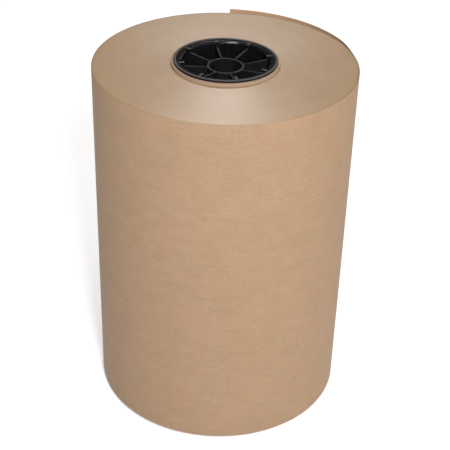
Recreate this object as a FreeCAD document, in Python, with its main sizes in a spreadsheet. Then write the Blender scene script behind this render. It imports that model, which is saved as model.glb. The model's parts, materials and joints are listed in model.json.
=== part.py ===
import FreeCAD, Part
import math
import os
import Sketcher

# A roll of brown kraft wrapping paper, standing on end: one long web wound on a board core, with a
# moulded plug pushed into each end of the core. The origin is on the roll's axis, on the surface that
# the lower plug stands on. +Z is up the axis. Lengths are in millimetres and angles in degrees.

os.makedirs("parts", exist_ok=True)
doc = FreeCAD.newDocument("wrapping_paper_roll")

# ---------------------------------------------------------------- driving dimensions
DIMENSIONS = [
    # the wound web
    ("paper_width", 304.8, "width of the web, 12 in"),
    ("roll_diameter", 216.0, "outside diameter of the wound web, 8.5 in"),
    ("paper_thickness", 0.13, "one layer of the web"),
    ("wind_gap", 0.05, "radial gap between the core and the first turn"),
    # the loose end of the web
    ("tail_root", 7.0, "where the last turn lets go of the roll"),
    ("tail_arc", 85.5, "how far round the loose end reaches"),
    ("tail_lift", 4.2, "how far the loose end has sprung open about its root"),
    ("tail_gap", 0.3, "radial gap under the loose end when it is pressed flat"),
    # the core
    ("core_bore", 76.2, "inside diameter of the core, 3 in"),
    ("core_wall", 6.0, "thickness of the spiral-wound board"),
    ("core_proud", 2.2, "how far each end of the core stands out of the paper"),
    # the tape that holds the web's first edge on the core
    ("tape_width", 25.0, "along the core's circumference"),
    ("tape_thickness", 0.15, "double-sided film tape"),
    ("tape_margin", 8.0, "from each edge of the web to the tape's end"),
    ("tape_azimuth", 200.0, "where the tape starts"),
    # the plugs' flange
    ("flange_overlap", 4.25, "how far the flange reaches out over the core's end"),
    ("flange_thickness", 2.0, "from the core's end to the top of the lip"),
    ("flange_edge", 0.4, "chamfer on the flange's outer edge"),
    ("lip_width", 1.8, "raised lip round the flange"),
    ("lip_height", 0.8, "from the dished face up to the top of the lip"),
    ("lip_slope", 0.6, "radial run of the lip's inner side"),
    ("rim_bevel", 1.6, "bevel from the dished face into the barrel"),
    # the plugs' barrel, floor and hub
    ("barrel_depth", 38.0, "below the flange"),
    ("barrel_wall", 2.0, "thickness of the barrel"),
    ("barrel_relief", 0.45, "radial gap between the barrel and the core"),
    ("lead_in", 1.2, "taper at the barrel's inner end"),
    ("floor_thickness", 1.8, "web that closes the pockets at the inner end"),
    ("hub_bore", 26.2, "for a 25.4 mm dispenser rod"),
    ("hub_wall", 2.2, "thickness of the hub"),
    ("hub_recess", 6.3, "from the lip's top down to the hub's rim"),
    # the plugs' ribs
    ("rib_count", 8, "spokes between the hub and the barrel"),
    ("rib_thickness", 1.5, "thickness of a spoke"),
    ("rib_rise", 3.1, "how much higher a spoke is at the barrel than at the hub"),
    ("gusset_width", 2.4, "lump over the outer end of each spoke"),
    ("gusset_reach", 3.5, "from the barrel's inner face out to the gusset's end"),
    ("gusset_drop", 0.3, "from the lip's top down to the gusset's top"),
    ("crush_count", 16, "crush ribs round the barrel"),
    ("crush_width", 1.6, "width of a crush rib"),
    ("crush_clearance", 0.05, "radial sliding fit of the crush ribs in the core"),
    ("upper_turn", 13.5, "azimuth of the upper plug's first spoke"),
    ("lower_turn", 31.0, "azimuth of the lower plug's first spoke"),
]

sheet = doc.addObject("Spreadsheet::Sheet", "Sizes")
for row, (alias, value, note) in enumerate(DIMENSIONS, start=1):
    sheet.set("A%d" % row, alias)
    sheet.set("B%d" % row, str(value))
    sheet.set("C%d" % row, note)
    sheet.setAlias("B%d" % row, alias)
doc.recompute()


def dim(text):
    """An expression in which @ marks a name from the sheet."""
    return text.replace("@", "Sizes.")


# ---------------------------------------------------------------- sizes worked out from those
core_r = "(@core_bore / 2)"
core_outer_r = "(@core_bore / 2 + @core_wall)"
roll_r = "(@roll_diameter / 2)"
tail_r = "(@roll_diameter / 2 + @tail_gap)"
paper_bottom = "(@flange_thickness + @core_proud)"
roll_height = "(2 * @flange_thickness + 2 * @core_proud + @paper_width)"
flange_r = "(@core_bore / 2 + @flange_overlap)"
barrel_r = "(@core_bore / 2 - @barrel_relief)"
barrel_inner_r = "(@core_bore / 2 - @barrel_relief - @barrel_wall)"
plug_end = "(@flange_thickness + @barrel_depth)"
hub_bore_r = "(@hub_bore / 2)"
hub_r = "(@hub_bore / 2 + @hub_wall)"
rib_end_depth = "(@hub_recess - @rib_rise)"


# ---------------------------------------------------------------- making features
def originPlane(body, role):
    return [feature for feature in body.Origin.OriginFeatures if feature.Role == role][0]


def outline(body, name, role, corners):
    """A closed sketch on one of the body's planes, each corner placed by two expressions."""
    sketch = body.newObject("Sketcher::SketchObject", name)
    sketch.AttachmentSupport = [(originPlane(body, role), "")]
    sketch.MapMode = "FlatFace"
    places = [(dim(across), dim(up)) for across, up in corners]
    points = [
        FreeCAD.Vector(float(sheet.evalExpression(across)), float(sheet.evalExpression(up)), 0)
        for across, up in places
    ]
    count = len(points)
    for i in range(count):
        sketch.addGeometry(Part.LineSegment(points[i], points[(i + 1) % count]))
    for i in range(count):
        sketch.addConstraint(Sketcher.Constraint("Coincident", i, 2, (i + 1) % count, 1))
    for i, (across, up) in enumerate(places):
        for kind, value, text in (("DistanceX", points[i].x, across), ("DistanceY", points[i].y, up)):
            number = sketch.addConstraint(Sketcher.Constraint(kind, -1, 1, i, 1, value))
            sketch.setExpression("Constraints[%d]" % number, text)
    return sketch


def turned(body, name, corners, angle="360"):
    """A profile in the XZ plane turned about Z, from +X towards +Y."""
    feature = body.newObject("PartDesign::Revolution", name)
    feature.Profile = outline(body, name + "_profile", "XZ_Plane", corners)
    feature.ReferenceAxis = (feature.Profile[0], ["V_Axis"])
    feature.setExpression("Angle", dim(angle))
    return feature


def repeated(body, name, feature, count):
    """The feature, and copies of it all round Z."""
    pattern = body.newObject("PartDesign::PolarPattern", name)
    pattern.Originals = [feature]
    pattern.Axis = (feature.Profile[0], ["V_Axis"])
    pattern.Angle = 360
    pattern.setExpression("Occurrences", dim(count))
    body.Tip = pattern
    return pattern


def fin(body, name, corners, thickness, count):
    """A flat fin in the XZ plane, padded to both sides and repeated round Z."""
    pad = body.newObject("PartDesign::Pad", name)
    pad.Profile = outline(body, name + "_profile", "XZ_Plane", corners)
    pad.SideType = "Symmetric"
    pad.setExpression("Length", dim(thickness))
    return repeated(body, name + "_pattern", pad, count)


def newBody(name):
    body = doc.addObject("PartDesign::Body", name)
    body.Label = name
    return body


def ring(name, inner, outer, bottom, top, angle="360"):
    """A tube, or part of one, about Z."""
    body = newBody(name)
    turned(body, name + "_turned", [(inner, bottom), (outer, bottom), (outer, top), (inner, top)], angle)
    return body


# ---------------------------------------------------------------- the core
coreTube = ring(
    "core_tube",
    core_r,
    core_outer_r,
    "@flange_thickness",
    roll_height + " - @flange_thickness",
)

# ---------------------------------------------------------------- the tape under the first turn
tape_bottom = paper_bottom + " + @tape_margin"
tape_top = paper_bottom + " + @paper_width - @tape_margin"
tape_angle = "@tape_width / " + core_outer_r + " * 180 / pi"

startTape = ring(
    "start_tape",
    core_outer_r,
    core_outer_r + " + @tape_thickness",
    tape_bottom,
    tape_top,
    tape_angle,
)
startTape.setExpression("Placement.Rotation.Angle", dim("@tape_azimuth"))

# ---------------------------------------------------------------- the wound web
woundPaper = ring(
    "wound_paper",
    core_outer_r + " + @wind_gap",
    roll_r,
    paper_bottom,
    paper_bottom + " + @paper_width",
)
# Room for the tape between the core and the first turn.
beforeRecess = woundPaper.Tip
recess_outer = core_outer_r + " + @tape_thickness + @wind_gap"
recess_corners = [
    (core_r, tape_bottom + " - @wind_gap"),
    (recess_outer, tape_bottom + " - @wind_gap"),
    (recess_outer, tape_top + " + @wind_gap"),
    (core_r, tape_top + " + @wind_gap"),
]
recess = woundPaper.newObject("PartDesign::Groove", "tape_recess")
recess.Profile = outline(woundPaper, "tape_recess_profile", "XZ_Plane", recess_corners)
recess.ReferenceAxis = (recess.Profile[0], ["V_Axis"])
recess.setExpression("Angle", dim(tape_angle + " + 1"))
woundPaper.setExpression("Placement.Rotation.Angle", dim("@tape_azimuth - 0.5"))

# ---------------------------------------------------------------- the loose end of the web
# It keeps the roll's curve, and has swung open about a line down the roll at its root.
paperTail = ring(
    "paper_tail",
    tail_r,
    tail_r + " + @paper_thickness",
    paper_bottom,
    paper_bottom + " + @paper_width",
    "@tail_arc",
)
swung = "(@tail_root - @tail_lift)"
paperTail.setExpression("Placement.Rotation.Angle", dim(swung))
paperTail.setExpression("Placement.Base.x", dim(tail_r + " * (cos(@tail_root) - cos" + swung + ")"))
paperTail.setExpression("Placement.Base.y", dim(tail_r + " * (sin(@tail_root) - sin" + swung + ")"))


# ---------------------------------------------------------------- the two core plugs
def corePlug(name):
    """One moulded plug, with the top of its lip at Z = 0 and its barrel going down."""
    body = newBody(name)
    floor_top = "-" + plug_end + " + @floor_thickness"
    lip_inner = flange_r + " - @lip_width"
    shell = [
        (hub_bore_r, "-@hub_recess"),
        (hub_r, "-@hub_recess"),
        (hub_r, floor_top),
        (barrel_inner_r, floor_top),
        (barrel_inner_r, "-@lip_height - @rim_bevel"),
        (barrel_inner_r + " + @rim_bevel", "-@lip_height"),
        (lip_inner + " - @lip_slope", "-@lip_height"),
        (lip_inner, "0"),
        (flange_r + " - @flange_edge", "0"),
        (flange_r, "-@flange_edge"),
        (flange_r, "-@flange_thickness"),
        (barrel_r, "-@flange_thickness"),
        (barrel_r, "-" + plug_end + " + @lead_in"),
        (barrel_r + " - @barrel_wall / 3", "-" + plug_end),
        (hub_bore_r, "-" + plug_end),
    ]
    turned(body, name + "_shell", shell)

    # The spokes run from inside the hub's wall to inside the barrel's wall, down to the floor.
    in_hub = hub_bore_r + " + @hub_wall / 2"
    in_barrel = barrel_inner_r + " + @barrel_wall / 2"
    in_floor = "-" + plug_end + " + @floor_thickness / 2"
    spoke = [
        (in_hub, "-@hub_recess"),
        (in_barrel, "-" + rib_end_depth),
        (in_barrel, in_floor),
        (in_hub, in_floor),
    ]
    fin(body, name + "_spoke", spoke, "@rib_thickness", "@rib_count")

    # A gusset climbs from the end of each spoke over the bevel to the dished face.
    climb = "(" + rib_end_depth + " - @gusset_drop)"
    gusset_end = barrel_inner_r + " + @gusset_reach"
    gusset = [
        (barrel_inner_r + " - " + climb + " / 3", "-" + rib_end_depth),
        (barrel_inner_r + " + @rim_bevel / 2", "-@gusset_drop"),
        (gusset_end, "-@gusset_drop"),
        (gusset_end, "-@lip_height - @gusset_drop"),
        (in_barrel, "-@flange_thickness"),
        (in_barrel, "-" + rib_end_depth + " - @rib_rise / 2"),
        (barrel_inner_r + " - " + climb + " / 3", "-" + rib_end_depth + " - @rib_rise / 2"),
    ]
    fin(body, name + "_gusset", gusset, "@gusset_width", "@rib_count")

    # Crush ribs down the outside of the barrel take up the relief in the core.
    crush_outer = core_r + " - @crush_clearance"
    crush_bottom = "-" + plug_end + " + 2 * @lead_in"
    crush = [
        (in_barrel, "-@flange_thickness - @lead_in"),
        (crush_outer, "-@flange_thickness - @lead_in"),
        (crush_outer, crush_bottom + " + @lead_in"),
        (barrel_r, crush_bottom),
        (in_barrel, crush_bottom),
    ]
    fin(body, name + "_crush", crush, "@crush_width", "@crush_count")
    return body


upperPlug = corePlug("upper_core_plug")
upperPlug.setExpression("Placement.Base.z", dim(roll_height))
upperPlug.setExpression("Placement.Rotation.Angle", dim("@upper_turn"))

# The lower plug is the same moulding, upside down: half a turn about a line half way round to its spoke.
lowerPlug = corePlug("lower_core_plug")
lowerPlug.setExpression("Placement.Rotation.Axis.x", dim("cos(@lower_turn / 2)"))
lowerPlug.setExpression("Placement.Rotation.Axis.y", dim("sin(@lower_turn / 2)"))
lowerPlug.setExpression("Placement.Rotation.Axis.z", "0")
lowerPlug.setExpression("Placement.Rotation.Angle", "180")

# ---------------------------------------------------------------- check and write
doc.recompute()
pieces = [coreTube, startTape, woundPaper, paperTail, upperPlug, lowerPlug]

for item in doc.Objects:
    if "Invalid" in item.State or "Error" in item.State:
        raise RuntimeError("%s did not rebuild: %s" % (item.Label, item.State))
for piece in pieces:
    if piece.Shape.isNull() or not piece.Shape.isValid() or len(piece.Shape.Solids) != 1:
        raise RuntimeError("%s is not one valid solid" % piece.Label)
if recess.Shape.Volume >= beforeRecess.Shape.Volume:
    raise RuntimeError("the tape's recess cuts nothing")

for piece in pieces:
    piece.Shape.exportStep("parts/%s.step" % piece.Label)
    print("%-18s %10.1f mm3" % (piece.Label, piece.Shape.Volume))

root = math.radians(sheet.tail_root)
rootRadius = sheet.roll_diameter / 2 + sheet.tail_gap
print("tail root at %.3f, %.3f" % (rootRadius * math.cos(root), rootRadius * math.sin(root)))
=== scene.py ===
import bpy
import json
import math
import random
from mathutils import Matrix, Vector


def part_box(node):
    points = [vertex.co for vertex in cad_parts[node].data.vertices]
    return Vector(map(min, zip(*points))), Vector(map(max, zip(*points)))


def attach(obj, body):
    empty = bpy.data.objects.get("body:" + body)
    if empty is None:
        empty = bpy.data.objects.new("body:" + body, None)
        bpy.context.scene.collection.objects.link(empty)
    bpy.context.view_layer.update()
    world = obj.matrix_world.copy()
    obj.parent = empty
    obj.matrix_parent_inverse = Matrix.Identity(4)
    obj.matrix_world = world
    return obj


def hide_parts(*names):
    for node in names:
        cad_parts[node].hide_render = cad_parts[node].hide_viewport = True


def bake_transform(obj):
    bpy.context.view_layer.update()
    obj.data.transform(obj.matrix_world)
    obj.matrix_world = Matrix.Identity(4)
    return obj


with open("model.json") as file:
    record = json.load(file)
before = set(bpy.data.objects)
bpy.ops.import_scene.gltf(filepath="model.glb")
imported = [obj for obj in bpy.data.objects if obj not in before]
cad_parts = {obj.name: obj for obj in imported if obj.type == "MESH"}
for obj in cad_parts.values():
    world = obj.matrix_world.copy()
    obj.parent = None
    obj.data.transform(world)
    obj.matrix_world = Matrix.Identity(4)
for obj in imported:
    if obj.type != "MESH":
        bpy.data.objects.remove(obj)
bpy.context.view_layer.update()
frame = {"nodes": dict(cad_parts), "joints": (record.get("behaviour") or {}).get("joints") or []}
print("frame loaded")

scene = bpy.context.scene
scene.view_settings.view_transform = "Standard"

paperLow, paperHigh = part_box("wound_paper")
rollRadius = paperHigh.x
coreLow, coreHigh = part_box("core_tube")
coreRadius = coreHigh.x
tailJoint = next(joint for joint in frame["joints"] if joint["name"] == "tail_lift")
root = Vector((tailJoint["pos_m"][0], tailJoint["pos_m"][1], 0))
rootAngle = math.atan2(root.y, root.x)
closedAngle = math.radians(-tailJoint["range_deg"][0])  # from pressed flat to where it rests
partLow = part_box("lower_core_plug")[0].z
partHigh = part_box("upper_core_plug")[1].z
partMiddle = (partLow + partHigh) / 2


def letGo():
    if bpy.context.object and bpy.context.object.mode != "OBJECT":
        bpy.ops.object.mode_set(mode="OBJECT")
    bpy.ops.object.select_all(action="DESELECT")


def pickUp(piece):
    letGo()
    piece.select_set(True)
    bpy.context.view_layer.objects.active = piece


def editing(piece):
    pickUp(piece)
    bpy.ops.object.mode_set(mode="EDIT")
    bpy.ops.mesh.select_mode(type="VERT")
    bpy.ops.mesh.select_all(action="DESELECT")


def choose(piece, test):  # selects the corners of the mesh that pass a test on their place
    bpy.ops.object.mode_set(mode="OBJECT")
    for corner in piece.data.vertices:
        corner.select = bool(test(corner.co))
    bpy.ops.object.mode_set(mode="EDIT")


def slide(x=0.0, y=0.0, z=0.0):
    bpy.ops.transform.translate(value=(x, y, z))


def bakeIn(piece):  # puts the object's place into its mesh
    pickUp(piece)
    bpy.ops.object.transform_apply(location=True, rotation=True, scale=True)


def addModifier(piece, kind, **settings):
    pickUp(piece)
    modifier = piece.modifiers.new(kind.title(), kind)
    for key, value in settings.items():
        setattr(modifier, key, value)
    bpy.ops.object.modifier_apply(modifier=modifier.name)


def softEdges(piece, width, segments=2, angle=35):
    addModifier(
        piece, "BEVEL", width=width, segments=segments, limit_method="ANGLE",
        angle_limit=math.radians(angle), harden_normals=False, use_clamp_overlap=True,
    )


def smooth(piece, angle=32):
    pickUp(piece)
    bpy.ops.object.shade_smooth_by_angle(angle=math.radians(angle))


def turned(name, outline, steps):  # an outline of (radius, height) points, spun about Z
    letGo()
    bpy.ops.mesh.primitive_plane_add(size=0.001, location=(0, 0, 0))
    piece = bpy.context.object
    piece.name = name
    editing(piece)
    bpy.ops.mesh.select_all(action="SELECT")
    bpy.ops.mesh.merge(type="CENTER")
    slide(outline[0][0], 0, outline[0][1])
    for (r0, z0), (r1, z1) in zip(outline, outline[1:] + outline[:1]):
        bpy.ops.mesh.extrude_region_move(TRANSFORM_OT_translate={"value": (r1 - r0, 0, z1 - z0)})
    bpy.ops.mesh.select_all(action="SELECT")
    bpy.ops.mesh.remove_doubles(threshold=1e-6)
    bpy.ops.mesh.spin(steps=steps, angle=math.tau, center=(0, 0, 0), axis=(0, 0, 1))
    bpy.ops.mesh.select_all(action="SELECT")
    bpy.ops.mesh.remove_doubles(threshold=1e-6)
    bpy.ops.mesh.normals_make_consistent(inside=False)
    bpy.ops.object.mode_set(mode="OBJECT")
    return piece


def joined(piece, others):  # makes the others part of the piece
    letGo()
    for other in others:
        other.select_set(True)
    piece.select_set(True)
    bpy.context.view_layer.objects.active = piece
    bpy.ops.object.join()
    return piece


def allRound(piece, count):  # copies of a piece all round Z, joined into one
    copies = [piece]
    for i in range(1, count):
        pickUp(piece)
        bpy.ops.object.duplicate()
        copy = bpy.context.object
        copy.rotation_euler = (0, 0, math.tau * i / count)
        bakeIn(copy)
        copies.append(copy)
    return joined(piece, copies)


class Wire:  # a socket that can be written in sums, such as 1 - mask * 0.4
    def __init__(self, finish, socket):
        self.finish = finish
        self.socket = socket

    def calc(self, operation, first, second=0.0):
        return self.finish.node("Math", {"operation": operation}, {0: first, 1: second})

    def __add__(self, other):
        return self.calc("ADD", self, other)

    def __radd__(self, other):
        return self.calc("ADD", other, self)

    def __sub__(self, other):
        return self.calc("SUBTRACT", self, other)

    def __rsub__(self, other):
        return self.calc("SUBTRACT", other, self)

    def __mul__(self, other):
        return self.calc("MULTIPLY", self, other)

    def __rmul__(self, other):
        return self.calc("MULTIPLY", other, self)

    def __truediv__(self, other):
        return self.calc("DIVIDE", self, other)

    def __pow__(self, other):
        return self.calc("POWER", self, other)


class Finish:  # the nodes of one material, or of the world
    def __init__(self, owner):
        owner.use_nodes = True
        self.owner = owner
        self.tree = owner.node_tree
        self.tree.nodes.clear()

    def node(self, kind, settings=None, values=None, output=0):
        made = self.tree.nodes.new("ShaderNode" + kind)
        for key, value in (settings or {}).items():
            setattr(made, key, value)
        for key, value in (values or {}).items():
            if isinstance(value, Wire):
                self.tree.links.new(value.socket, made.inputs[key])
            else:
                made.inputs[key].default_value = value
        return Wire(self, made.outputs[output]) if made.outputs else None

    def place(self):
        return self.node("TexCoord", output="Object")

    def axes(self, place):  # the x, y and z of a place
        return [self.node("SeparateXYZ", None, {0: place}, output=i) for i in range(3)]

    def stretched(self, place, x, y, z):
        return self.node("VectorMath", {"operation": "MULTIPLY"}, {0: place, 1: (x, y, z)})

    def scaled(self, place, times):
        return self.stretched(place, times, times, times)

    def noise(self, place, detail=2.0, roughness=0.5):
        values = {"Vector": place, "Scale": 1.0, "Detail": detail, "Roughness": roughness}
        return self.node("TexNoise", None, values)

    def between(self, factor, low, high):  # clamps a wire from low..high to 0..1, smoothly
        settings = {"interpolation_type": "SMOOTHSTEP"}
        return self.node("MapRange", settings, {0: factor, 1: low, 2: high, 3: 0.0, 4: 1.0})

    def blend(self, factor, first, second):
        settings = {"data_type": "RGBA", "clamp_factor": True}
        return self.node("Mix", settings, {0: factor, 6: first, 7: second}, output=2)

    def bump(self, height, distance, strength=1.0):
        values = {"Height": height, "Distance": distance, "Strength": strength}
        return self.node("Bump", None, values)

    def surface(self, **values):
        inputs = {key.replace("_", " "): value for key, value in values.items()}
        self.node("OutputMaterial", None, {"Surface": self.node("BsdfPrincipled", None, inputs)})
        return self.owner


def wear(piece, *materials):
    piece.data.materials.clear()
    for material in materials:
        piece.data.materials.append(material)


kraft = {
    "dark": (0.252, 0.166, 0.096, 1),
    "light": (0.312, 0.210, 0.128, 1),
    "tint": (0.300, 0.186, 0.116, 1),  # the redder clouds in the sheet
    "speck": (0.22, 0.14, 0.08, 1),
    "roughness": 0.6,
    "gloss": 0.12,
    "relief": 0.00012,
    "insidePaintedLight": 1.42,  # painted light: how much brighter the inner face of the loose end is painted, to cancel the shade in the gap between it and the roll
    "fibreSize": 0.0013,  # across a tuft of fibres
    "cloudSize": 0.016,  # across a cloud in the sheet
}


def kraftSheet(name, fromAttribute=None, paintedLight=1.0):
    f = Finish(bpy.data.materials.new(name))
    if fromAttribute:
        place = f.node("Attribute", {"attribute_name": fromAttribute}, output="Vector")
    else:
        place = f.place()
    fine = 1 / kraft["fibreSize"]
    broad = 1 / kraft["cloudSize"]
    fibre = f.noise(f.stretched(place, fine * 0.55, fine * 0.55, fine), 3.0, 0.6)
    cloud = f.noise(f.stretched(place, broad, broad, broad * 1.6), 3.0, 0.55)
    streak = f.noise(f.stretched(place, broad * 0.5, broad * 0.5, fine * 0.5), 2.0, 0.5)
    speckle = f.noise(f.stretched(place, fine * 0.25, fine * 0.25, fine * 0.9), 0.0, 0.5)
    tintCloud = f.noise(f.stretched(place, broad * 0.7, broad * 0.7, broad * 1.1), 2.0, 0.5)
    tone = fibre * 0.52 + cloud * 0.28 + streak * 0.20
    body = f.blend(f.between(tone, 0.30, 0.70), kraft["dark"], kraft["light"])
    tinted = f.blend(f.between(tintCloud, 0.45, 0.70) * 0.55, body, kraft["tint"])
    speck = f.between(speckle, 0.70, 0.80)
    paper = f.blend(speck * 0.18, tinted, kraft["speck"])
    # the scale is above one only for the inner face of the loose end, where it is painted light that cancels
    # the shade in the gap behind it
    colour = f.node("VectorMath", {"operation": "SCALE"}, {0: paper, "Scale": paintedLight})
    rough = kraft["roughness"] + (fibre - 0.5) * 0.16
    relief = f.bump(fibre * 0.7 + speckle * 0.3, kraft["relief"], 0.5)
    gloss = kraft["gloss"]
    return f.surface(Base_Color=colour, Roughness=rough, Normal=relief, Specular_IOR_Level=gloss)


edges = {
    "dark": (0.238, 0.150, 0.072, 1),
    "light": (0.282, 0.180, 0.090, 1),
    "roughness": 0.35,
    "bandSize": 0.0022,  # turns that lie together and show as one line
    "turnSize": 0.00035,  # half the way from one edge of the web to the next that shows
    "turnHeight": 0.00003,
    "lineFrom": 0.086,  # further out than this, single turns show as lines
    "lineFade": 0.018,  # the stretch over which they come in
    "smudge": (-0.0222, -0.0615),  # a rubbed mark on each end
    "smudgeSize": (0.0030, 0.0024),
    "smudgeColour": (0.15, 0.10, 0.07, 1),
    "smudgeStrength": 0.6,
    "drifts": 14,  # to the metre, as are the next two
    "clouds": 45,
    "fibres": 900,
}


def layeredEnds(name):
    f = Finish(bpy.data.materials.new(name))
    place = f.place()
    x, y = f.axes(place)[:2]
    radius = (x * x + y * y) ** 0.5
    drift = f.noise(f.scaled(place, edges["drifts"]), 1.0, 0.5)
    across = radius / edges["bandSize"] + drift * 0.8
    coarse = f.node("CombineXYZ", None, {0: across * 0.4, 1: drift * 0.5})
    finer = f.node("CombineXYZ", None, {0: across * 3.0, 1: drift * 0.5})
    bands = f.noise(coarse, 2.0, 0.6)
    lines = f.noise(finer, 2.0, 0.6)
    fibre = f.noise(f.scaled(place, edges["fibres"]), 2.0, 0.6)
    cloud = f.noise(f.scaled(place, edges["clouds"]), 2.0, 0.5)
    outer = f.between(radius, edges["lineFrom"], edges["lineFrom"] + edges["lineFade"])
    tone = bands * 0.18 + lines * (outer * 0.50 + 0.14) + fibre * 0.25 + cloud * 0.25 - outer * 0.25 + 0.09
    body = f.blend(f.between(tone, 0.35, 0.65), edges["dark"], edges["light"])
    dx = (x - edges["smudge"][0]) / edges["smudgeSize"][0]
    dy = (y - edges["smudge"][1]) / edges["smudgeSize"][1]
    mark = 1 - f.between(dx * dx + dy * dy, 0.1, 1.0)
    colour = f.blend(mark * edges["smudgeStrength"], body, edges["smudgeColour"])
    rough = edges["roughness"] + (lines - 0.5) * 0.16 + (fibre - 0.5) * 0.06
    turns = f.node("Math", {"operation": "PINGPONG"}, {0: radius + drift * 0.0004, 1: edges["turnSize"]})
    relief = f.bump(turns / edges["turnSize"] + bands * 0.1 + fibre * 0.15, edges["turnHeight"])
    return f.surface(Base_Color=colour, Roughness=rough, Normal=relief)


board = {
    "dark": (0.265, 0.18, 0.118, 1),
    "light": (0.33, 0.23, 0.158, 1),
    "seam": (0.16, 0.10, 0.06, 1),
    "seamPitch": 0.098,  # up the core, from one turn of the spiral seam to the next
    "grooveEdge": (0.00002, 0.0001),  # square of the distance from the seam, in turns, where its groove ends
    "plyWave": 1700,  # how closely the plies show on a cut end
    "fibres": (700, 700, 1100),  # to the metre, along x, y and z
    "roughness": 0.85,
    "relief": 0.0002,
}


def boardFinish(name):
    f = Finish(bpy.data.materials.new(name))
    place = f.place()
    x, y, z = f.axes(place)
    radius = (x * x + y * y) ** 0.5
    turn = f.node("Math", {"operation": "ARCTAN2"}, {0: y, 1: x}) / math.tau
    seam = f.node("Math", {"operation": "FRACT"}, {0: turn + z / board["seamPitch"]})
    groove = 1 - f.between((seam - 0.5) * (seam - 0.5), *board["grooveEdge"])
    plies = f.node("CombineXYZ", None, {0: radius * board["plyWave"]})
    ply = f.noise(plies, 1.0, 0.5)
    fibre = f.noise(f.stretched(place, *board["fibres"]), 3.0, 0.6)
    tone = ply * 0.45 + fibre * 0.55
    body = f.blend(f.between(tone, 0.32, 0.68), board["dark"], board["light"])
    colour = f.blend(groove * 0.55, body, board["seam"])
    relief = f.bump(fibre * 0.5 + ply * 0.5 - groove * 1.5, board["relief"], 0.5)
    rough = board["roughness"] + (fibre - 0.5) * 0.1
    return f.surface(Base_Color=colour, Roughness=rough, Normal=relief)


moulding = {
    "dark": (0.0040, 0.0040, 0.0045, 1),
    "light": (0.0070, 0.0070, 0.0080, 1),
    "scuffAndHighlight": (0.050, 0.048, 0.046, 1),  # scuffing plus a painted highlight on the lip and the gussets, which other things rub
    "scuffAndHighlightDepth": (0.0006, 0.0004),  # below the top of the lip, where the scuffing and the painted highlight fade in
    "roughness": 0.55,
    "polished": (0.0350, 0.0400),  # between these radii, round the mouth, the mould is polished
    "polishFade": 0.0004,
    "polishedRoughness": 0.10,
    "gloss": 0.13,
    "grains": 2600,  # to the metre
    "flows": (90, 90, 60),
    "relief": 0.00002,
}


def mouldedFinish(name):
    m = moulding
    f = Finish(bpy.data.materials.new(name))
    place = f.place()
    grain = f.noise(f.scaled(place, m["grains"]), 2.0, 0.5)
    flow = f.noise(f.stretched(place, *m["flows"]), 3.0, 0.6)
    body = f.blend(f.between(flow, 0.3, 0.7), m["dark"], m["light"])
    x, y, z = f.axes(place)
    radius = (x * x + y * y) ** 0.5
    fromMiddle = ((z - partMiddle) * (z - partMiddle)) ** 0.5
    top = partHigh - partMiddle
    # the topmost part of each plug, the lip and the gusset tops, is painted lighter: scuffing plus a painted
    # highlight
    scuffAndHighlightMask = f.between(fromMiddle, top - m["scuffAndHighlightDepth"][0], top - m["scuffAndHighlightDepth"][1])
    colour = f.blend(scuffAndHighlightMask, body, m["scuffAndHighlight"])
    inside = f.between(radius, m["polished"][0], m["polished"][0] + m["polishFade"])
    outside = f.between(radius, m["polished"][1], m["polished"][1] + m["polishFade"])
    rough = m["roughness"] + (inside - outside) * (m["polishedRoughness"] - m["roughness"])
    rough = rough + (flow - 0.5) * 0.04 + (grain - 0.5) * 0.02
    relief = f.bump(grain * 0.6 + flow * 0.4, m["relief"], 0.3)
    return f.surface(Base_Color=colour, Roughness=rough, Normal=relief, Specular_IOR_Level=m["gloss"])


tape = {
    "dark": (0.62, 0.55, 0.38, 1),
    "light": (0.72, 0.66, 0.50, 1),
    "roughness": 0.35,
    "wrinkles": (120, 120, 300),  # to the metre
    "relief": 0.0001,
}


def tapeFinish(name):
    f = Finish(bpy.data.materials.new(name))
    place = f.place()
    wrinkle = f.noise(f.stretched(place, *tape["wrinkles"]), 3.0, 0.6)
    colour = f.blend(f.between(wrinkle, 0.3, 0.7), tape["dark"], tape["light"])
    rough = tape["roughness"] + (wrinkle - 0.5) * 0.2
    relief = f.bump(wrinkle, tape["relief"], 0.4)
    return f.surface(Base_Color=colour, Roughness=rough, Normal=relief)


kraftRoll = kraftSheet("kraftRoll")
kraftTail = kraftSheet("kraftTail", "rollPlace")
# the inner face of the loose end, painted brighter to cancel the shade in the gap behind it
kraftInsidePaintedLight = kraftSheet("kraftInsidePaintedLight", "rollPlace", kraft["insidePaintedLight"])
layerEnds = layeredEnds("layerEnds")
coreBoard = boardFinish("coreBoard")
mouldedBlack = mouldedFinish("mouldedBlack")
filmTape = tapeFinish("filmTape")
print("finishes made")

roll = {
    "seed": 4,
    "steps": 240,
    "rings": 54,  # steps across each end, where groups of turns stand up or sink a little
    "ringRelief": 0.00002,
    "deepShare": 0.06,  # this share of the rings sinks deeper
    "deepBy": 2.5,
    "coreGap": 0.00005,
    "edgeRound": 0.00035,
    "wallRows": 24,
    "lastTurnStart": math.radians(-52),  # the last part turn lies in a shallow step from here
    "stepReach": math.radians(88.5),  # it ends this far round from the root of the loose end
    "stepFade": math.radians(4),
    "stepDepth": 0.0002,
    "skin": 0.0012,  # corners this close to the outside lie in the step
    "endFacing": 0.6,  # faces that look up or down more than this are an end
}


def endRings(z, up, chance):  # points across one end, from the core out
    inner = coreRadius + roll["coreGap"]
    points = [(inner, z)]
    for i in range(1, roll["rings"]):
        share = (i + chance.uniform(-0.3, 0.3)) / roll["rings"]
        sink = chance.uniform(0, roll["ringRelief"])
        if chance.random() < roll["deepShare"]:
            sink *= roll["deepBy"]
        points.append((inner + (rollRadius - inner) * share, z - up * sink))
    points.append((rollRadius, z))
    return points


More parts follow.
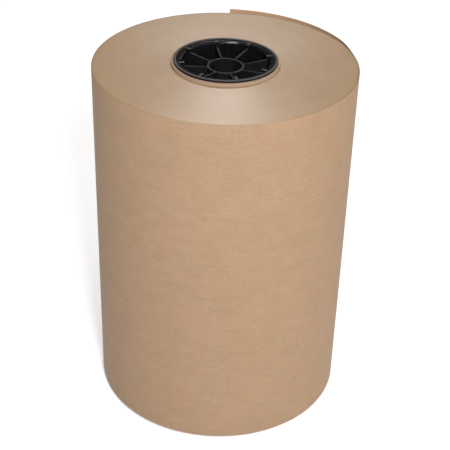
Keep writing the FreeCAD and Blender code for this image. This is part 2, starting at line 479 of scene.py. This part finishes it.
def makeWoundPaper():
    chance = random.Random(roll["seed"])
    top = endRings(paperHigh.z, 1, chance)
    bottom = endRings(paperLow.z, -1, chance)
    rows = roll["wallRows"]
    tall = paperHigh.z - paperLow.z
    wall = [(rollRadius, paperLow.z + tall * i / rows) for i in range(1, rows)]
    piece = turned("woundPaper", bottom + wall + top[::-1], roll["steps"])
    softEdges(piece, roll["edgeRound"], 2, 60)
    # the step that the last part turn lies in
    tailEnd = rootAngle + roll["stepReach"]
    for corner in piece.data.vertices:
        radius = math.hypot(corner.co.x, corner.co.y)
        if radius < rollRadius - roll["skin"]:
            continue
        angle = math.atan2(corner.co.y, corner.co.x)
        if roll["lastTurnStart"] < angle < tailEnd:
            depth = roll["stepDepth"] * min(1.0, (tailEnd - angle) / roll["stepFade"])
            corner.co.x *= (radius - depth) / radius
            corner.co.y *= (radius - depth) / radius
    wear(piece, kraftRoll, layerEnds)
    for face in piece.data.polygons:
        face.material_index = 1 if abs(face.normal.z) > roll["endFacing"] else 0
    smooth(piece, 40)
    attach(piece, "roll")
    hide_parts("wound_paper")


makeWoundPaper()
print("web wound")

web = {
    "thickness": 0.00013,
    "reach": math.radians(85.5),  # from the root to the cut end
    "rows": 44,
    "columns": 96,
    "bend": 0.040,  # the stretch over which the paper bends at its root
    "cornerCurl": 0.0006,
    "waviness": 0.0003,
    "slowWave": 9.4,  # radians up the roll's height, as is the quick one
    "quickWave": 17,
}


def turnedAbout(place, middle, angle):
    away = place - middle
    c, s = math.cos(angle), math.sin(angle)
    return Vector((middle.x + away.x * c - away.y * s, middle.y + away.x * s + away.y * c, place.z))


def makePaperTail():
    start = roll["lastTurnStart"]
    end = rootAngle + web["reach"]
    bendFrom = root.copy()
    bendAngle = rootAngle + web["bend"] / rollRadius
    bendTo = Vector((rollRadius * math.cos(bendAngle), rollRadius * math.sin(bendAngle), 0))
    along = bendTo - bendFrom
    tall = paperHigh.z - paperLow.z
    letGo()
    bpy.ops.mesh.primitive_grid_add(
        x_subdivisions=web["columns"], y_subdivisions=web["rows"], size=1, location=(0, 0, 0)
    )
    piece = bpy.context.object
    piece.name = "paperTail"
    flat = [(corner.co.x + 0.5, corner.co.y + 0.5) for corner in piece.data.vertices]
    rolled = piece.data.attributes.new("rollPlace", "FLOAT_VECTOR", "POINT")
    for corner, (across, up) in zip(piece.data.vertices, flat):
        angle = start + (end - start) * across
        z = paperLow.z + tall * up
        closed = Vector((rollRadius * math.cos(angle), rollRadius * math.sin(angle), z))
        rolled.data[corner.index].vector = closed
        share = max(0.0, min(1.0, (closed - bendFrom).dot(along) / along.length_squared))
        share = share * share * (3 - 2 * share)
        lifted = turnedAbout(closed, bendFrom, -closedAngle * share)
        outward = Vector((math.cos(angle), math.sin(angle), 0))
        near = max(0.0, (angle - rootAngle) / (end - rootAngle)) ** 3  # nought at the root, one at the end
        curl = web["cornerCurl"] * (abs(2 * up - 1) ** 3)
        slow = math.sin(up * web["slowWave"] + 0.7)
        quick = math.sin(up * web["quickWave"] + 2)
        ripple = web["waviness"] * (1.5 + slow + 0.5 * quick)  # never below nought, which is the roll
        corner.co = lifted + outward * near * (curl + ripple)
    piece.data.update()
    editing(piece)
    bpy.ops.mesh.select_all(action="SELECT")
    bpy.ops.mesh.normals_make_consistent(inside=False)
    bpy.ops.object.mode_set(mode="OBJECT")
    facing = piece.data.polygons[0].normal.dot(Vector((math.cos(start), math.sin(start), 0)))
    if facing < 0:
        piece.data.flip_normals()
    # the inner face takes the painted-light finish, brightened against the shade in the gap
    wear(piece, kraftTail, kraftInsidePaintedLight)
    addModifier(
        piece, "SOLIDIFY", thickness=web["thickness"], offset=-1.0, use_even_offset=True,
        material_offset=1,
    )
    smooth(piece, 40)
    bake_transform(piece)
    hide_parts("paper_tail")


makePaperTail()
print("loose end made")

core = {
    "seed": 11,
    "wall": 0.006,
    "steps": 160,
    "plies": 10,
    "plyRelief": 0.00012,
    "edgeRound": 0.0002,
}


def plyEdges(z, up, inner, chance):
    wall = coreRadius - inner
    points = [(inner, z)]
    for i in range(1, core["plies"]):
        points.append((inner + wall * i / core["plies"], z - up * chance.uniform(0, core["plyRelief"])))
    points.append((coreRadius, z))
    return points


def makeCore():
    chance = random.Random(core["seed"])
    inner = coreRadius - core["wall"]
    top = plyEdges(coreHigh.z, 1, inner, chance)
    bottom = plyEdges(coreLow.z, -1, inner, chance)
    piece = turned("coreTube", bottom + top[::-1], core["steps"])
    softEdges(piece, core["edgeRound"], 2, 60)
    wear(piece, coreBoard)
    smooth(piece, 40)
    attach(piece, "roll")
    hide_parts("core_tube")


makeCore()
wear(frame["nodes"]["start_tape"], filmTape)
print("core made")

plug = {
    "flangeRadius": 0.04235,
    "flangeThickness": 0.0020,
    "flangeEdge": 0.0004,
    "lipWidth": 0.0018,
    "lipHeight": 0.0008,
    "lipSlope": 0.0006,
    "rimBevel": 0.0016,
    "barrelRadius": 0.03765,
    "barrelWall": 0.0020,
    "depth": 0.040,
    "leadIn": 0.0012,
    "floor": 0.0018,
    "hubBore": 0.0131,
    "hubWall": 0.0022,
    "hubRecess": 0.0063,
    "spokes": 8,
    "spokeThickness": 0.0015,
    "spokeRise": 0.0031,
    "spokeDraft": 1.3,  # how much thicker a spoke is at its foot
    "gussetWidth": 0.0024,
    "gussetReach": 0.0035,
    "gussetDrop": 0.0003,
    "gussetInset": 0.0009,
    "gussetLean": 0.0016,
    "crushRibs": 16,
    "crushWidth": 0.0016,
    "crushRadius": 0.03805,
    "steps": 160,
    "edgeRound": 0.00022,
    "finRound": 0.00028,
    "spokePick": 0.001,  # corners this close to a block's end belong to it
    "gussetPick": 0.0005,
    "upperTurn": math.radians(13.5),
    "lowerTurn": math.radians(31.0),
}


def plugShell(name):
    p = plug
    inner = p["barrelRadius"] - p["barrelWall"]
    hub = p["hubBore"] + p["hubWall"]
    floorTop = p["floor"] - p["depth"]
    lipInner = p["flangeRadius"] - p["lipWidth"]
    outline = [
        (p["hubBore"], -p["hubRecess"]),
        (p["hubBore"], -p["depth"]),
        (p["barrelRadius"] - p["barrelWall"] / 3, -p["depth"]),
        (p["barrelRadius"], p["leadIn"] - p["depth"]),
        (p["barrelRadius"], -p["flangeThickness"]),
        (p["flangeRadius"], -p["flangeThickness"]),
        (p["flangeRadius"], -p["flangeEdge"]),
        (p["flangeRadius"] - p["flangeEdge"], 0.0),
        (lipInner, 0.0),
        (lipInner - p["lipSlope"], -p["lipHeight"]),
        (inner + p["rimBevel"], -p["lipHeight"]),
        (inner, -p["lipHeight"] - p["rimBevel"]),
        (inner, floorTop),
        (hub, floorTop),
        (hub, -p["hubRecess"]),
    ]
    shell = turned(name, outline, p["steps"])
    softEdges(shell, p["edgeRound"], 2, 30)
    return shell


def finBlock(name, low, high, thickness):  # a flat block in the XZ plane, from one corner to the other
    letGo()
    middle = ((low[0] + high[0]) / 2, 0, (low[1] + high[1]) / 2)
    bpy.ops.mesh.primitive_cube_add(size=1, location=middle)
    block = bpy.context.object
    block.name = name
    block.scale = (high[0] - low[0], thickness, high[1] - low[1])
    bakeIn(block)
    return block


def plugSpoke():
    p = plug
    inner = p["barrelRadius"] - p["barrelWall"]
    low = (p["hubBore"] + p["hubWall"] / 2, p["floor"] / 2 - p["depth"])
    high = (inner + p["barrelWall"] / 2, -p["hubRecess"])
    spoke = finBlock("spoke", low, high, p["spokeThickness"])
    editing(spoke)
    near = p["spokePick"]
    choose(spoke, lambda co: co.z > high[1] - near and co.x > high[0] - near)
    slide(z=p["spokeRise"])
    choose(spoke, lambda co: co.z < low[1] + near)
    bpy.ops.transform.resize(value=(1, p["spokeDraft"], 1))
    bpy.ops.object.mode_set(mode="OBJECT")
    softEdges(spoke, p["finRound"], 2)
    return spoke


def plugGusset():
    p = plug
    inner = p["barrelRadius"] - p["barrelWall"]
    spokeEnd = p["spokeRise"] - p["hubRecess"]
    low = (inner - p["gussetInset"], spokeEnd - p["spokeRise"] / 2)
    high = (inner + p["gussetReach"], -p["gussetDrop"])
    gusset = finBlock("gusset", low, high, p["gussetWidth"])
    editing(gusset)
    near = p["gussetPick"]
    choose(gusset, lambda co: co.z > high[1] - near and co.x < low[0] + near)
    slide(x=p["gussetLean"])
    choose(gusset, lambda co: co.z < low[1] + near and co.x > high[0] - near)
    slide(x=-p["gussetReach"] + p["barrelWall"] / 2)
    bpy.ops.object.mode_set(mode="OBJECT")
    softEdges(gusset, p["finRound"], 2)
    return gusset


def plugCrushRib():
    p = plug
    low = (p["barrelRadius"] - p["barrelWall"] / 2, 2 * p["leadIn"] - p["depth"])
    high = (p["crushRadius"], -p["flangeThickness"] - p["leadIn"])
    rib = finBlock("crushRib", low, high, p["crushWidth"])
    softEdges(rib, p["finRound"] / 2, 2)
    return rib


def makePlug(node, body, name, top, turn, upsideDown):
    shell = plugShell(name)
    spokes = allRound(plugSpoke(), plug["spokes"])
    gussets = allRound(plugGusset(), plug["spokes"])
    crush = allRound(plugCrushRib(), plug["crushRibs"])
    joined(shell, (spokes, gussets, crush))
    if upsideDown:
        shell.rotation_euler = (math.pi, 0, 0)
        bakeIn(shell)
    shell.rotation_euler = (0, 0, turn)
    shell.location = (0, 0, top)
    bakeIn(shell)
    wear(shell, mouldedBlack)
    smooth(shell, 32)
    addModifier(shell, "WEIGHTED_NORMAL", keep_sharp=True)  # so that the flat faces shine as flats
    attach(shell, body)
    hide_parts(node)


makePlug("upper_core_plug", "upper_plug", "upperCorePlug", partHigh, plug["upperTurn"], False)
makePlug("lower_core_plug", "lower_plug", "lowerCorePlug", partLow, plug["lowerTurn"], True)
print("plugs made")

studio = {
    "floorDark": (0.89, 0.90, 0.94, 1),
    "floorLight": (0.90, 0.91, 0.95, 1),
    "floorSize": 30.0,
    "floorGrains": 40,
    "floorGlow": (0.28, 0.28, 0.28, 1),
    "farGlow": (0.60, 0.60, 0.60, 1),  # keeps the sweep white where the lights don't reach
    "farFrom": (0.5, 1.8),
    "world": (1.0, 0.985, 0.92, 1),
    "worldStrength": 0.78,
    "horizonGlow": 0.35,
    "worldDim": 0.15,  # how bright it stays on the dark side, above and behind the roll to its left
    "darkSide": (-0.75, 0.66, 0.0),
    "darkAcross": (-0.4, 0.5),  # it fades in over this much of the way towards the dark side
    "darkRise": (0.05, 0.14),  # and over this rise above the horizon
    "horizonRise": (0.03, 0.08),  # the glow along the horizon fades out over this rise
    "lights": [  # name, place, aim, size, power, colour
        ("key", (0.19, -1.05, 0.98), (0, 0, 0.2), (0.22, 0.22), 14.5, (1.0, 0.99, 1.06)),
        ("flash", (-0.16, -0.37, 1.25), (0, 0, 0.31), (0.35, 0.07), 2.4, (1.0, 1.0, 1.0)),
        ("back", (0.0, 0.88, 1.02), (0, -0.1, 0.31), (0.14, 0.14), 3.5, (1.0, 0.94, 0.93)),
        ("side", (1.7, 0.1, 0.6), (0, 0, 0.15), (1.2, 1.2), 2.3, (1.0, 0.94, 0.45)),
    ],
}

letGo()
bpy.ops.mesh.primitive_plane_add(size=studio["floorSize"], location=(0, 0, 0))
floor = bpy.context.object
floor.name = "floor"
sweep = Finish(bpy.data.materials.new("floorPaper"))
grain = sweep.noise(sweep.scaled(sweep.place(), studio["floorGrains"]), 2.0, 0.5)
floorColour = sweep.blend(grain, studio["floorDark"], studio["floorLight"])
fromRoll = sweep.node("VectorMath", {"operation": "LENGTH"}, {0: sweep.place()}, "Value")
glowColour = sweep.blend(sweep.between(fromRoll, *studio["farFrom"]), studio["floorGlow"], studio["farGlow"])
wear(floor, sweep.surface(
    Base_Color=floorColour, Roughness=0.8, Emission_Color=glowColour, Emission_Strength=1.0,
))

world = bpy.data.worlds.new("studio")
sky = Finish(world)
towards = sky.node("TexCoord", output="Generated")
away = sky.node("VectorMath", {"operation": "DOT_PRODUCT"}, {0: towards, 1: studio["darkSide"]}, "Value")
rise = sky.axes(towards)[2]
darkSide = sky.between(away, *studio["darkAcross"]) * sky.between(rise, *studio["darkRise"])
horizon = 1 - sky.between(rise, *studio["horizonRise"])
strength = darkSide * (studio["worldDim"] - 1) + 1 + horizon * studio["horizonGlow"]
strength = strength * studio["worldStrength"]
glow = sky.node("Background", None, {"Color": studio["world"], "Strength": strength})
sky.node("OutputWorld", None, {"Surface": glow})
scene.world = world


def areaLight(name, place, aim, size, power, colour):
    light = bpy.data.lights.new(name, "AREA")
    light.shape = "RECTANGLE"
    light.size = size[0]
    light.size_y = size[1]
    light.energy = power
    light.color = colour
    lamp = bpy.data.objects.new(name, light)
    lamp.location = place
    lamp.rotation_euler = (Vector(aim) - Vector(place)).to_track_quat("-Z", "Y").to_euler()
    scene.collection.objects.link(lamp)


for light in studio["lights"]:
    areaLight(*light)

view = {
    "distance": 7.6566,  # in roll radii, from the axis to the lens
    "height": 3.4589,  # in roll radii, above the upper end of the paper
    "pan": 0.0041,  # radians, as are the next two
    "tilt": 0.5687,
    "roll": 0.0298,
    "lens": 89.05,
}
camera = bpy.data.cameras.new("view")
camera.lens = view["lens"]
camera.sensor_width = 36
eye = bpy.data.objects.new("view", camera)
forward = Vector((
    math.sin(view["pan"]) * math.cos(view["tilt"]),
    math.cos(view["pan"]) * math.cos(view["tilt"]),
    -math.sin(view["tilt"]),
))
right = Vector((math.cos(view["pan"]), -math.sin(view["pan"]), 0))
up = right.cross(forward)
tiltedRight = right * math.cos(view["roll"]) + up * math.sin(view["roll"])
tiltedUp = up * math.cos(view["roll"]) - right * math.sin(view["roll"])
eye.matrix_world = Matrix.Translation(
    (0, -view["distance"] * rollRadius, paperHigh.z + view["height"] * rollRadius)
) @ Matrix((tiltedRight, tiltedUp, -forward)).transposed().to_4x4()
scene.collection.objects.link(eye)
scene.camera = eye
